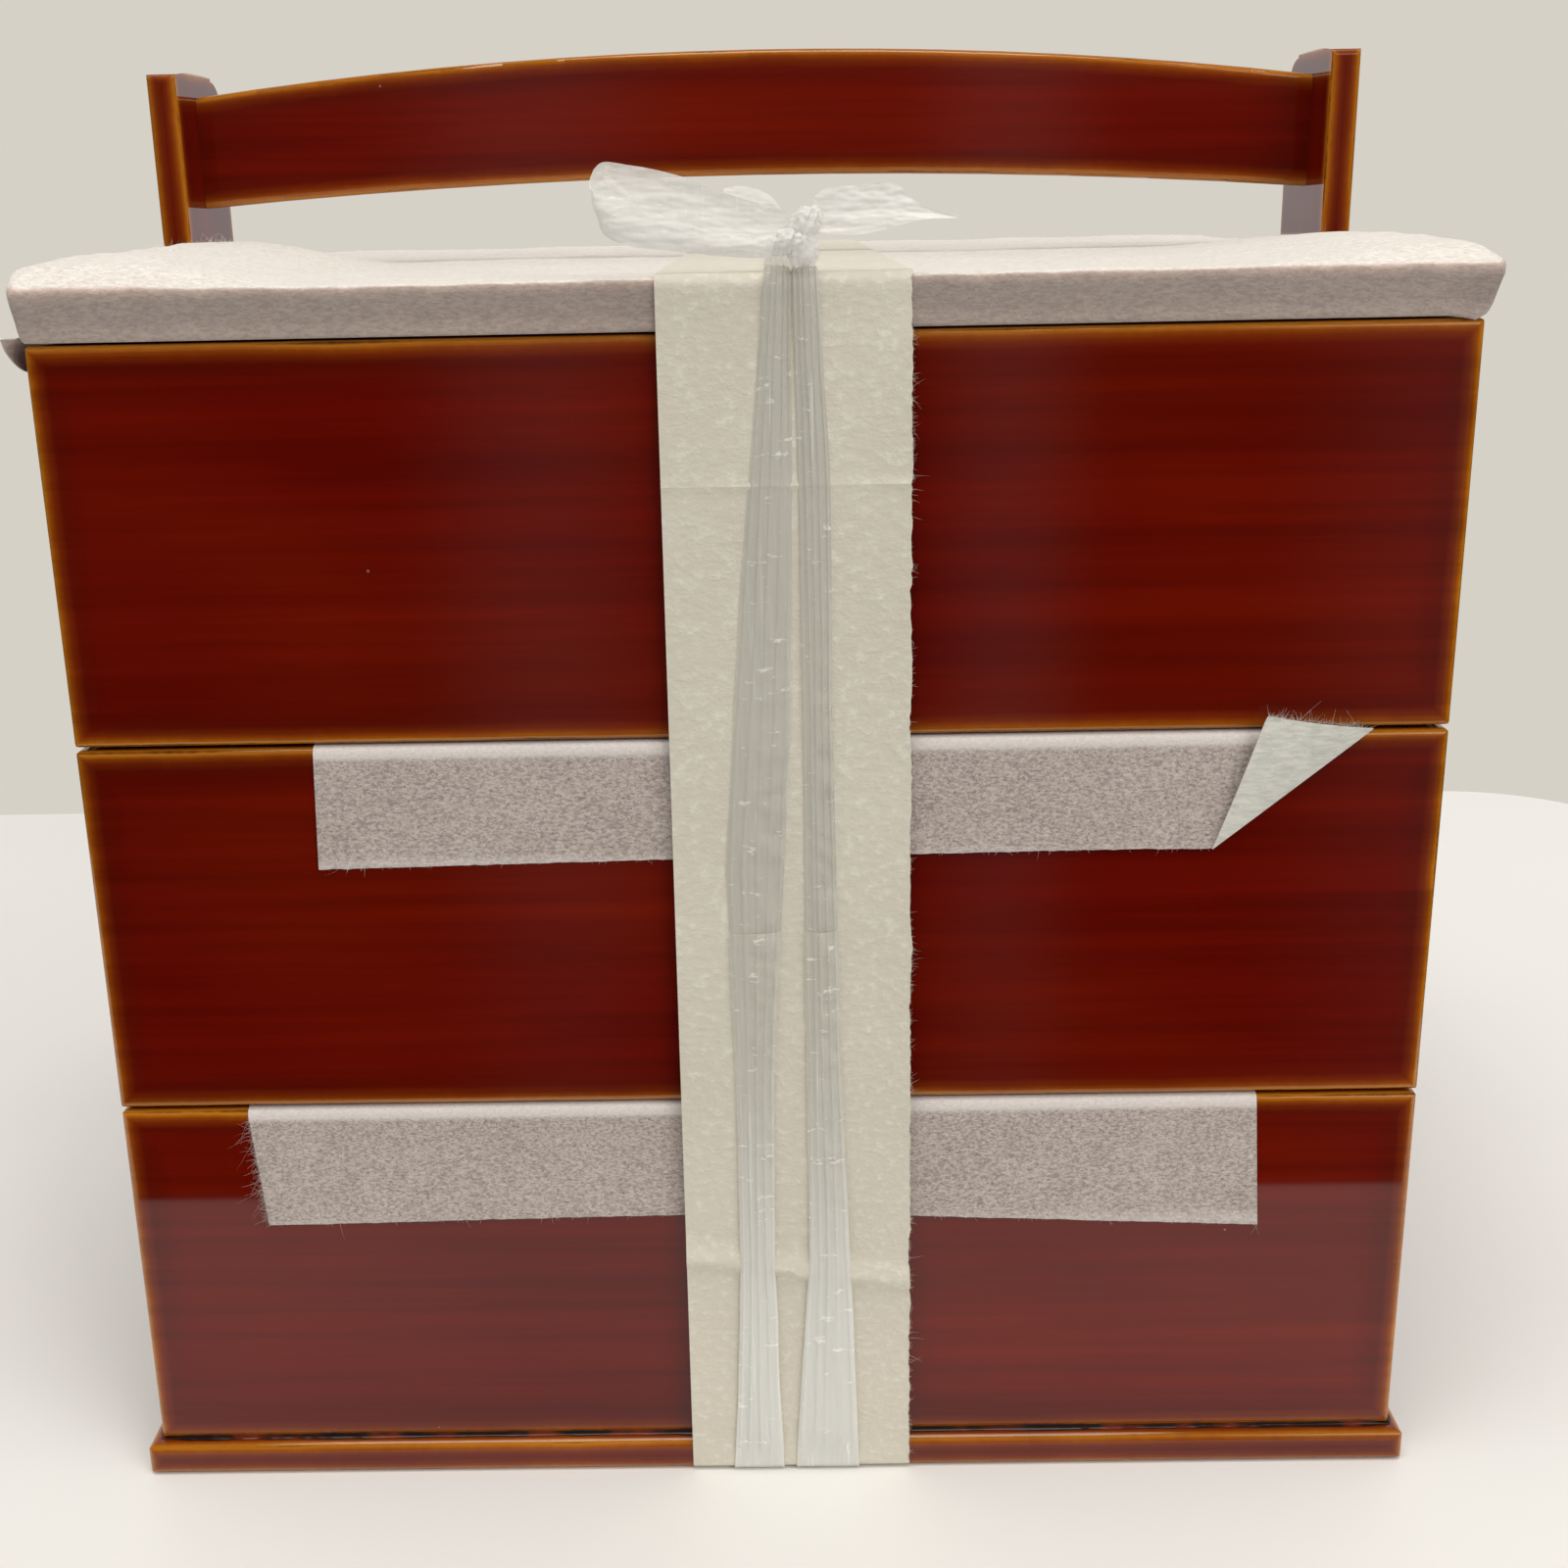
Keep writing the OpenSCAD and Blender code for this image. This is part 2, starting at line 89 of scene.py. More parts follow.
class Shade:
    """A number, colour or vector that the nodes of one material work out."""

    def __init__(self, tree, socket=None):
        self.tree = tree
        self.socket = socket

    def node(self, kind, settings=None, links=None, out=0):
        """Adds a node: its settings first, then its sockets, from numbers or from other shades."""
        made = self.tree.nodes.new("ShaderNode" + kind)
        for name, value in (settings or {}).items():
            if name == "stops":
                fill_ramp(made.color_ramp, value)
            else:
                setattr(made, name, value)
        for name, value in (links or {}).items():
            if isinstance(value, Shade):
                self.tree.links.new(value.socket, made.inputs[name])
            else:
                made.inputs[name].default_value = value
        return Shade(self.tree, made.outputs[out] if len(made.outputs) else None)

    def math(self, operation, *values):
        return self.node("Math", {"operation": operation}, dict(enumerate(values)))

    def __add__(self, other):
        return self.math("ADD", self, other)

    def __sub__(self, other):
        return self.math("SUBTRACT", self, other)

    def __rsub__(self, other):
        return self.math("SUBTRACT", other, self)

    def __mul__(self, other):
        return self.math("MULTIPLY", self, other)

    def __truediv__(self, other):
        return self.math("DIVIDE", self, other)

    def __pow__(self, other):
        return self.math("POWER", self, other)

    def __gt__(self, other):
        return self.math("GREATER_THAN", self, other)

    def __lt__(self, other):
        return self.math("LESS_THAN", self, other)

    __radd__ = __add__
    __rmul__ = __mul__

    def size(self):
        return self.math("ABSOLUTE", self)

    def least(self, other):
        return self.math("MINIMUM", self, other)

    def most(self, other):
        return self.math("MAXIMUM", self, other)

    def rise(self, start, end):
        """0 before start, 1 after end, and smooth between them."""
        return self.node("MapRange", {"interpolation_type": "SMOOTHSTEP"}, {0: self, 1: start, 2: end})

    def hump(self, middle, width):
        """1 at the middle, falling smoothly to 0 at the given distance on both sides."""
        return 1 - (self - middle).size().rise(0, width)

    def blend(self, low, high):
        """Mixes two colours, with this number as the share of the second."""
        return self.node("Mix", {"data_type": "RGBA"}, {0: self, 6: low, 7: high}, 2)

    def ramp(self, stops):
        return self.node("ValToRGB", {"stops": stops}, {0: self})

    def parts(self):
        """X, Y and Z of a vector."""
        split = self.node("SeparateXYZ", None, {0: self})
        outputs = split.socket.node.outputs
        return [Shade(self.tree, outputs[i]) for i in range(3)]

    def stretched(self, x, y, z):
        return self.node("VectorMath", {"operation": "MULTIPLY"}, {0: self, 1: (x, y, z)})

    def noise(self, scale, detail=2, roughness=0.5, distortion=0):
        return self.node("TexNoise", None, {"Vector": self, "Scale": scale, "Detail": detail,
                                            "Roughness": roughness, "Distortion": distortion})


def fill_ramp(ramp, stops):
    """Sets a ramp's stops, each a place from 0 to 1 and a screen colour."""
    while len(ramp.elements) < len(stops):
        ramp.elements.new(1)
    for element, (place, code) in zip(ramp.elements, stops):
        element.position = place
        element.color = colour(code)


def new_material(name):
    """An empty material, with a shade to start from."""
    made = bpy.data.materials.new(name)
    made.use_nodes = True
    made.node_tree.nodes.clear()
    return made, Shade(made.node_tree)


def close_material(start, surface):
    start.node("OutputMaterial", None, {"Surface": surface})


wall_colour = colour("d6d1c6")

world = bpy.data.worlds.new("room")
world.use_nodes = True
world.node_tree.nodes.clear()
bpy.context.scene.world = world
sky = Shade(world.node_tree)
look_x, look_y, look_z = sky.node("TexCoord", None, None, "Generated").parts()
path = sky.node("LightPath").socket.node.outputs
seen, mirrored = Shade(sky.tree, path["Is Camera Ray"]), Shade(sky.tree, path["Is Glossy Ray"])

# Light that falls on the box from all round: a little stronger from above
soft_light = 0.50 + 0.25 * look_z.rise(-0.2, 1)
# What the lacquer mirrors: dark below the table's level, dim in front, and the pale wall behind
aside = look_x / look_y.size().most(0.05)
room = look_z.rise(-0.10, 0.25) * 0.10 + look_z.rise(-0.14, 0.0) * look_y.rise(0.2, 0.7) * 0.62
doorway = aside.hump(-0.12, 0.09) * 0.16 + aside.hump(0.12, 0.06) * 0.18 + aside.hump(0.36, 0.12) * 0.16
room = room + 0.012 + doorway * look_z.rise(-0.62, -0.2) * look_y.rise(0.2, -0.2)
strength = seen * 1.0 + (1 - seen) * (mirrored * room + (1 - mirrored) * soft_light)
tint = seen.blend((1, 0.985, 0.96, 1), wall_colour)
close = sky.node("Background", None, {"Color": tint, "Strength": strength})
sky.node("OutputWorld", None, {"Surface": close})

table_low, table_high = Vector((-420, -184, -30)) * mm, Vector((272, 252, 0)) * mm
table_corner = 52 * mm


def rounded_outline(low, high, radius, steps):
    """Points round a rectangle with round corners, anticlockwise from the front right."""
    points = []
    for corner, (x, y) in enumerate([(high.x - radius, low.y + radius), (high.x - radius, high.y - radius),
                                     (low.x + radius, high.y - radius), (low.x + radius, low.y + radius)]):
        for step in range(steps + 1):
            angle = math.pi / 2 * (corner - 1 + step / steps)
            points.append((x + radius * math.cos(angle), y + radius * math.sin(angle)))
    return points


outline = rounded_outline(table_low, table_high, table_corner, 16)
table_mesh = bpy.data.meshes.new("table")
count = len(outline)
table_mesh.from_pydata([(x, y, z) for z in (table_low.z, table_high.z) for x, y in outline], [],
                       [list(range(count))[::-1], list(range(count, 2 * count))]
                       + [[i, (i + 1) % count, (i + 1) % count + count, i + count] for i in range(count)])
table = bpy.data.objects.new("table", table_mesh)
bpy.context.scene.collection.objects.link(table)

table_top, start = new_material("table_top")
where = start.node("TexCoord", None, None, "Object")
mottle = where.noise(9, 3)
table_tint = mottle.blend(colour("eceae5"), colour("f2f0ec"))
bump = start.node("Bump", None, {"Strength": 0.05, "Distance": 0.0004, "Height": where.noise(900, 2)})
close_material(start, start.node("BsdfPrincipled", None, {"Base Color": table_tint, "Roughness": 0.55,
                                                          "Specular IOR Level": 0.2, "Normal": bump}))
table_mesh.materials.append(table_top)


def area_light(name, place, aim, size, power, shade):
    lamp = bpy.data.lights.new(name, "AREA")
    lamp.shape = "RECTANGLE"
    lamp.size, lamp.size_y = size
    lamp.energy = power
    lamp.color = shade
    held = bpy.data.objects.new(name, lamp)
    held.location = place
    held.rotation_euler = (Vector(aim) - Vector(place)).to_track_quat("-Z", "Y").to_euler()
    bpy.context.scene.collection.objects.link(held)
    return held


ceiling = area_light("ceiling_light", (-0.05, -0.30, 1.35), (0, 0, 0.1), (0.7, 0.5), 6.8, (1, 0.98, 0.94))
window = area_light("window_light", (0.8, -0.95, 0.8), (0, 0, 0.1), (0.8, 0.8), 5, (1, 0.99, 0.98))


# Tiers, base board, posts and handle: joinery wood dyed dark red under clear amber lacquer.
# The dye is rubbed through at every edge, so the amber shows there, with a darker line just inside.
def nearest_edge(along, low, high):
    """How far a point of a board's surface is from the board's nearest edge: the middle one of its three
    distances to the board's faces, as the least is to the face that it lies on."""
    far = [((high[i] - low[i]) / 2) - (along[i] - (high[i] + low[i]) / 2).size() for i in range(3)]
    return far[0].least(far[1]).most(far[0].most(far[1]).least(far[2]))


# The first stop, dark brown at the very edge, is painted shade: the rounded arris seen at a grazing angle, turned away
# from the light.
edge_stops = [(0, "3c1e07"), (0.025, "7a430c"), (0.055, "bd781b"), (0.09, "ac6211"), (0.14, "91450b"),
              (0.22, "782a07"), (0.36, "631304"), (0.6, "640f02"), (1, "6c1202")]
edge_reach = 8 * mm


def lacquer(name, low, high, grain=(7, 7, 260), arch=None):
    """Lacquered board between two corners. grain is how often the brushed streaks change along X, Y and Z.
    arch turns the place on the board into its height above a straight board's, for the handle."""
    made, start = new_material(name)
    place = start.node("TexCoord", None, None, "Object")
    along = place.parts()
    wander = place.noise(55, 3)
    if arch:
        along[2] = arch(along)
    edge = nearest_edge(along, low, high) + (wander - 0.5) * 0.8 * mm + (place.noise(700, 1) - 0.5) * 0.25 * mm
    # Amber and the darker halo come from the rubbed-through dye; the dark brown at the very edge is painted shade.
    edge_dye_and_painted_rim = (edge / edge_reach).ramp(edge_stops)
    inside = edge.rise(2 * mm, 9 * mm)
    patches = place.stretched(1, 1, 1.6).noise(11, 2)
    warm = patches.rise(0.35, 0.7).blend(colour("670b01"), colour("741601"))
    body = inside.blend(edge_dye_and_painted_rim, warm)
    streaks = place.stretched(*grain).noise(1, 5, 0.62)
    streaked = streaks.rise(0.3, 0.72).blend(colour("cdbfba"), colour("ffffff"))
    body = start.node("Mix", {"data_type": "RGBA", "blend_type": "MULTIPLY"}, {0: 0.85, 6: body, 7: streaked}, 2)
    cells = start.node("TexVoronoi", None, {"Vector": place, "Scale": 170}, "Distance")
    pick = start.node("TexVoronoi", None, {"Vector": place, "Scale": 170}, "Color").parts()[0]
    dust = (cells < 0.035) * (pick > 0.86)
    body = (dust * 0.5).blend(body, colour("a08880"))
    ripple = start.node("Bump", None, {"Strength": 0.2, "Distance": 0.015 * mm, "Height": wander + streaks * 0.15})
    close_material(start, start.node("BsdfPrincipled", None, {
        "Base Color": body, "Roughness": 0.5 + dust * 0.3, "Specular IOR Level": 0.0,
        "Coat Weight": 1.0, "Coat Roughness": 0.05, "Coat IOR": 1.48, "Normal": ripple}))
    return made


def finish_nodes(made, *names):
    """Gives CAD nodes a material in place of their own."""
    for name in names:
        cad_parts[name].data.materials.clear()
        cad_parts[name].data.materials.append(made)


for tier in ("bottom", "middle", "top"):
    walls = [f"{tier}_{side}" for side in ("front", "back", "left", "right")]
    corners = [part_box(wall) for wall in walls]
    low = [min(c[0][i] for c in corners) for i in range(3)]
    high = [max(c[1][i] for c in corners) for i in range(3)]
    finish_nodes(lacquer(f"{tier}_lacquer", low, high), *walls)
flat_grain = (7, 260, 7)
for board in ("base_board", "lid_panel"):
    finish_nodes(lacquer(f"{board}_lacquer", *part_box(board), flat_grain), board)
finish_nodes(lacquer("inner_lacquer", *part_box("bottom_floor"), flat_grain),
             "bottom_floor", "middle_floor", "top_floor", "middle_lip", "top_lip", "lid_lip")
upright_grain = (260, 260, 7)
for post in ("left_post", "right_post"):
    finish_nodes(lacquer(f"{post}_lacquer", *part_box(post), upright_grain), post)

handle_low, handle_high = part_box("handle")
handle_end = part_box("right_post")[0].x
under_rise, top_rise = 3.8 * mm, 6 * mm


def bow_out(along):
    """Height of a point of the handle as it would be with straight edges."""
    x, _, z = along
    middle = 1 - (x / handle_end) ** 2
    share = (z - handle_low.z - under_rise * middle) / (handle_high.z - top_rise - handle_low.z
                                                        + (top_rise - under_rise) * middle)
    return handle_low.z + share * (handle_high.z - top_rise - handle_low.z)


straight_high = Vector((handle_high.x, handle_high.y, handle_high.z - top_rise))
finish_nodes(lacquer("handle_lacquer", handle_low, straight_high, arch=bow_out), "handle")

bamboo, start = new_material("peg_bamboo")
fibre = start.node("TexCoord", None, None, "Object").stretched(20, 900, 900).noise(1, 3)
close_material(start, start.node("BsdfPrincipled", None, {
    "Base Color": fibre.blend(colour("a87b42"), colour("d0a468")), "Roughness": 0.6}))
finish_nodes(bamboo, "post_pegs")


# Pooled lacquer: where the bottom tier is set on the base board, thick lacquer ran into the joint and
# dried as a dark shiny bead. It stops at the posts.
def new_piece(name, points, faces, made, values=None):
    """A smooth mesh from points in metres. values are numbers kept at its points, for its material."""
    mesh = bpy.data.meshes.new(name)
    mesh.from_pydata([tuple(point) for point in points], [], faces)
    mesh.materials.append(made)
    mesh.polygons.foreach_set("use_smooth", [True] * len(mesh.polygons))
    for key, numbers in (values or {}).items():
        mesh.attributes.new(key, "FLOAT", "POINT").data.foreach_set("value", np.float32(numbers))
    mesh.update()
    mesh.set_sharp_from_angle(angle=math.radians(52))
    piece = bpy.data.objects.new(name, mesh)
    bpy.context.scene.collection.objects.link(piece)
    return piece


def swept(stations, first=0):
    """Points and faces of a closed tube through stations, each a ring of as many points."""
    rings = np.array(stations)
    count, around = rings.shape[:2]
    faces = [[first + i * around + j, first + i * around + (j + 1) % around,
              first + (i + 1) * around + (j + 1) % around, first + (i + 1) * around + j]
             for i in range(count - 1) for j in range(around)]
    faces.append([first + j for j in range(around)][::-1])
    faces.append([first + (count - 1) * around + j for j in range(around)])
    return rings.reshape(-1, 3), faces


def rough(points, scale, detail=3):
    """Smooth random heights of about -1 to 1 at points; scale is the number of bumps in a metre."""
    return np.array([noise.fractal(Vector(p) * scale, 0.6, 2, detail) for p in np.reshape(points, (-1, 3))])


bead_size, bead_sink = 0.62 * mm, 0.3 * mm
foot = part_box("bottom_front")[0]
bead_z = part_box("base_board")[1].z
half_w, half_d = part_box("bottom_right")[1].x, -foot.y
post_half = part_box("right_post")[1].y


def bead_run(start, end, outward):
    """Stations of the bead along one straight joint."""
    start, end, outward = (np.array(v, float) for v in (start, end, outward))
    count = int(np.linalg.norm(end - start) / (0.6 * mm))
    stations = []
    for step in range(count + 1):
        middle = start + (end - start) * step / count
        lump = rough([middle], 60)[0] * 0.45 + rough([middle], 420)[0] * 0.25
        size = bead_size * (1 + lump) * min(1, 0.3 + 3 * min(step, count - step) / count * 10)
        curve = [(1 - math.cos(a), 1 - math.sin(a)) for a in np.linspace(0, math.pi / 2, 6)]
        section = [(out * size, up * size) for out, up in curve]
        section += [(size, -bead_sink), (-bead_sink, -bead_sink), (-bead_sink, size)]
        stations.append([middle + outward * out + np.array([0, 0, up]) for out, up in section])
    return stations


pooled, start = new_material("pooled_lacquer")
place = start.node("TexCoord", None, None, "Object")
tone = place.noise(160, 3)
ripple = start.node("Bump", None, {"Strength": 0.5, "Distance": 0.1 * mm, "Height": place.noise(900, 2)})
close_material(start, start.node("BsdfPrincipled", None, {
    "Base Color": tone.rise(0.45, 0.7).blend(colour("1e0602"), colour("6a2204")), "Roughness": 0.5,
    "Specular IOR Level": 0.1, "Coat Weight": 0.45, "Coat Roughness": 0.12, "Normal": ripple}))

points, faces = [], []
for side in (-1, 1):
    runs = [bead_run((side * -half_w, side * half_d, bead_z), (side * half_w, side * half_d, bead_z), (0, side, 0))]
    for low, high in ((-half_d, -post_half - 0.3 * mm), (post_half + 0.3 * mm, half_d)):
        ends = (low, high) if side > 0 else (high, low)
        runs.append(bead_run((side * half_w, ends[0], bead_z), (side * half_w, ends[1], bead_z), (side, 0, 0)))
    for run in runs:
        more, joined = swept(run, sum(len(p) for p in points))
        points.append(more)
        faces += joined
bead = new_piece("joint_bead", np.concatenate(points), faces, pooled)
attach(bead, "carrier")


# Seam slips: strips of thin fibrous tissue laid over the front rims, so that the tiers don't stick.
# Each was torn off a roll and folded down over the rim; the upper one's free corner is turned up.
def shell(rows, thick, first=0):
    """Points and faces of a thin closed sheet. rows are its outer points, along it and then across."""
    rows = np.array(rows)
    count, wide = rows.shape[:2]
    across, along = np.gradient(rows, axis=1), np.gradient(rows, axis=0)
    normal = np.cross(across, along)
    normal /= np.maximum(np.linalg.norm(normal, axis=2, keepdims=True), 1e-12)
    inner = rows - normal * thick
    points = np.concatenate([rows.reshape(-1, 3), inner.reshape(-1, 3)])
    index = np.arange(count * wide).reshape(count, wide) + first
    under = index + count * wide
    faces = []
    for i in range(count - 1):
        for j in range(wide - 1):
            faces.append([index[i, j], index[i, j + 1], index[i + 1, j + 1], index[i + 1, j]])
            faces.append([under[i + 1, j], under[i + 1, j + 1], under[i, j + 1], under[i, j]])
    rim = [*index[0, :], *index[1:, -1], *index[-1, -2::-1], *index[-2:0:-1, 0]]
    for a, b in zip(rim, rim[1:] + rim[:1]):
        faces.append([b, a, a + count * wide, b + count * wide])
    return points, faces


def fibres(roots, aims, lengths, radius, seed, first=0):
    """Points and faces of fine bent hairs: each starts at its root and leaves along its aim."""
    chance = np.random.default_rng(seed)
    points, faces = [], []
    for root, aim, length in zip(roots, aims, lengths):
        bend = chance.normal(0, 0.45, 3)
        side = np.cross(aim, (0.31, 0.52, 0.79))
        side /= np.linalg.norm(side)
        other = np.cross(aim, side)
        rings = []
        for step in range(4):
            far = step / 3
            middle = np.array(root) + length * (np.array(aim) * far + bend * far * far)
            rings.append([middle + radius * (1 - 0.8 * far) * (math.cos(a) * side + math.sin(a) * other)
                          for a in (0, 2.1, 4.2)])
        more, joined = swept(rings, first + 12 * len(points))
        points.append(more)
        faces += joined
    return np.concatenate(points), faces


def tissue(name, light, dark, threads, fleck=0.5):
    """Fibrous tissue: pale threads over the tone of what shows through it. threads is how often they
    change along X, Y and Z."""
    made, start = new_material(name)
    place = start.node("TexCoord", None, None, "Object")
    fine = place.stretched(*threads).noise(1, 4, 0.7, 0.6)
    cloud = place.noise(130, 3)
    specks = place.noise(2300, 2).rise(0.58, 0.72)
    body = (fine.rise(0.3, 0.68) * 0.75 + cloud * 0.25).blend(colour(dark), colour(light))
    body = (specks * fleck).blend(body, colour("6d625d"))
    made_rough = start.node("Bump", None, {"Strength": 0.5, "Distance": 0.12 * mm, "Height": fine + cloud * 0.5})
    return made, start, body, made_rough


def close_tissue(start, body, bump):
    close_material(start, start.node("BsdfPrincipled", None, {
        "Base Color": body, "Roughness": 0.9, "Specular IOR Level": 0.15, "Sheen Weight": 0.25,
        "Sheen Roughness": 0.5, "Normal": bump}))


slip_tissue, start, body, bump = tissue("slip_tissue", "d5c9c1", "85766f", (1500, 2600, 2900), 0.6)
height = start.node("TexCoord", None, None, "Object").parts()[2]
rims = [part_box(f"{tier}_front")[1].z for tier in ("bottom", "middle")]
near_fold = height.hump(rims[0], 2.6 * mm).most(height.hump(rims[1], 2.6 * mm))
near_hem = height.hump(rims[0] - 20.5 * mm, 2.5 * mm).most(height.hump(rims[1] - 17.5 * mm, 1.6 * mm))
body = (near_fold.rise(0, 0.5) * 0.65 + near_hem * 0.3).blend(body, colour("e9e2dc"))
close_tissue(start, body, bump)

front = -half_d
slip_t, rim_r, slip_in = 0.2 * mm, 1 * mm, 6 * mm


def hanging_slip(rim, left, right, hems, flare):
    """Rows of points from inside the seam, out over the rim and down. left and right are the edges' x at
    the rim and at the hem, hems are (x, height) along the hem, and flare(x) is how far it stands off."""
    rows = []
    u = np.linspace(0, 1, 120)
    hem_x, hem_z = (np.array(v) * mm for v in zip(*hems))
    for y in np.linspace(front + slip_in, front + rim_r, 8)[:-1]:
        rows.append([(left[0] * mm + s * (right[0] - left[0]) * mm, y, rim + slip_t) for s in u])
    for angle in np.linspace(0, math.pi / 2, 8)[:-1]:
        radius = rim_r + slip_t
        y, z = front + rim_r - radius * math.sin(angle), rim - rim_r + radius * math.cos(angle)
        rows.append([(left[0] * mm + s * (right[0] - left[0]) * mm, y, z) for s in u])
    for fall in np.linspace(0, 1, 40):
        low, high = ((a[0] + (a[1] - a[0]) * fall) * mm for a in (left, right))
        x = low + u * (high - low)
        bottom = np.interp(x, hem_x, hem_z)
        z = rim - rim_r - fall * (rim - rim_r - bottom)
        y = front - slip_t - 0.05 * mm - flare(x, fall)
        rows.append(np.stack([x, y, z], axis=1))
    rows = np.array(rows, float)
    hem = rough(rows[-1], 900) * 0.12 * mm
    rows[-1, :, 2] += hem
    return rows[:, ::-1]


def fuzz(line, aim, count, length, seed, first, spread=0.5, radius=0.022 * mm):
    """Hairs along a torn edge: line is a list of points on it."""
    chance = np.random.default_rng(seed)
    line = np.array(line)
    at = chance.uniform(0, len(line) - 1.001, count)
    i = at.astype(int)
    roots = line[i] + (line[i + 1] - line[i]) * (at - i)[:, None]
    aims = np.array(aim) + chance.normal(0, spread, (count, 3))
    aims /= np.linalg.norm(aims, axis=1, keepdims=True)
    return fibres(roots, aims, length * chance.gamma(2, 0.5, count), radius, seed + 1, first)


def joined(*lumps):
    """Puts several lumps of points and faces in one mesh. Each lump is a function of its first index."""
    points, faces = [], []
    for lump in lumps:
        more, some = lump(sum(len(p) for p in points))
        points.append(more)
        faces += some
    return np.concatenate(points), faces


lower_rows = hanging_slip(rims[0], (-78.1, -76.5), (73.4, 74.6),
                          [(-76.5, 43.5), (-45.6, 43.9), (-12.6, 44.2), (21.7, 43.7), (74.6, 41.2)],
                          lambda x, fall: (0.25 + 0.12 * np.sin(x / (14 * mm))) * mm * fall ** 2)
torn = lower_rows[15:, -1] if lower_rows[0, -1, 0] < 0 else lower_rows[15:, 0]
lower_slip = new_piece("lower_tissue_slip", *joined(
    lambda n: shell(lower_rows, slip_t, n),
    lambda n: fuzz(torn, (-0.9, -0.3, -0.2), 260, 1.0 * mm, 3, n),
    lambda n: fuzz(lower_rows[-1], (0, -0.2, -0.9), 160, 0.35 * mm, 5, n)), slip_tissue)
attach(lower_slip, "carrier")
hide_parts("lower_slip")

upper_rows = hanging_slip(rims[1], (-63.4, -64.0), (85.0, 64.6),
                          [(-64.0, 101.0), (-13.2, 101.7), (20.9, 101.9), (64.6, 102.3)],
                          lambda x, fall: (0.15 + 1.1 * np.clip((x - 40 * mm) / (30 * mm), 0, 1) ** 2) * mm * fall)
upper_slip = new_piece("upper_tissue_slip", *joined(
    lambda n: shell(upper_rows, slip_t, n),
    lambda n: fuzz(upper_rows[-1], (0, -0.2, -0.9), 160, 0.35 * mm, 7, n)), slip_tissue)
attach(upper_slip, "middle_tier")
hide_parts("upper_slip")

corner_top, corner_tip, corner_foot = (np.array(v) * mm for v in
                                       ((71.0, -99.9, 122.0), (86.2, -98.9, 119.7), (64.5, -99.1, 102.3)))
turned_rows = []
for v in np.linspace(0, 1, 26):
    row = []
    for u in np.linspace(0, 1, 60):
        on_fold = corner_foot + (corner_tip - corner_foot) * u
        point = on_fold + (corner_top - on_fold) * v
        point = point - np.array([0, 1, 0]) * mm * 0.9 * math.sin(math.pi * min(1, v * 1.15)) ** 0.8 * (0.3 + 0.7 * u)
        row.append(point)
    turned_rows.append(row)
turned_rows = np.array(turned_rows)
turned_tissue, start, body, bump = tissue("turned_tissue", "e4e2d8", "c3c1b7", (330, 900, 1300), 0.06)
close_tissue(start, body, bump)
turned_corner = new_piece("turned_up_corner", *joined(
    lambda n: shell(turned_rows, slip_t, n),
    lambda n: fuzz(np.array([corner_top + (corner_tip - corner_top) * t for t in np.linspace(0, 0.97, 9)]),
                   (0.3, -0.3, 0.8), 260, 0.6 * mm, 11, n, 0.6)), turned_tissue)
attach(turned_corner, "middle_tier")


# Lid's sheet: one square of the same tissue, laid over the lid, its edges turned down and its hem tucked
# into the seam. The ends are gathered, so they stand up and bulge between the posts and the corners.
lid_low, lid_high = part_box("lid_panel")
sheet_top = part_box("lid_wrap")[1].z
seam_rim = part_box("top_front")[1].z
lid_half, lid_corner = lid_high.x, 1.2 * mm


def smooth_step(value, start, end):
    share = np.clip((value - start) / (end - start), 0, 1)
    return share * share * (3 - 2 * share)


def sheet_height(x, y):
    """Height of the sheet's top, which stands up along both ends in front of the posts."""
    x, y = np.asarray(x) / mm, np.asarray(y) / mm
    left = np.interp(y, [-98, -93, -80, -50, -19, -9, -4], [0.2, 2.9, 3.6, 3.8, 4.5, 3.4, 0])
    right = np.interp(y, [-98, -91, -69, -40, -10, -4], [0.2, 2.2, 3.0, 2.8, 1.6, 0])
    ends = left * smooth_step(-x, 58, 88) + right * smooth_step(x, 66, 92)
    flat = np.stack([x, y, 0 * x], axis=-1).reshape(-1, 3) * mm
    creases = rough(flat, 38).reshape(x.shape) * 0.3 + rough(flat, 160, 2).reshape(x.shape) * 0.12
    under_band = 1 - smooth_step(np.abs(x - 4.4), 15, 24)
    return sheet_top + mm * (ends + creases * (1 - 0.9 * under_band) - 0.05)


def lid_border(b):
    """Place and outward direction on the lid's outline, from a point of the border of a unit square."""
    place = b * lid_half
    inner = np.sign(b) * (lid_half - lid_corner)
    apart = place - inner
    at_corner = (apart * np.sign(b) > 0).all(axis=1, keepdims=True)
    length = np.linalg.norm(apart, axis=1, keepdims=True)
    flat_way = np.where(np.abs(b) > 1 - 1e-9, np.sign(b), 0)
    away = np.where(at_corner, apart / np.maximum(length, 1e-9), flat_way)
    return np.where(at_corner, inner + away * lid_corner, place), away


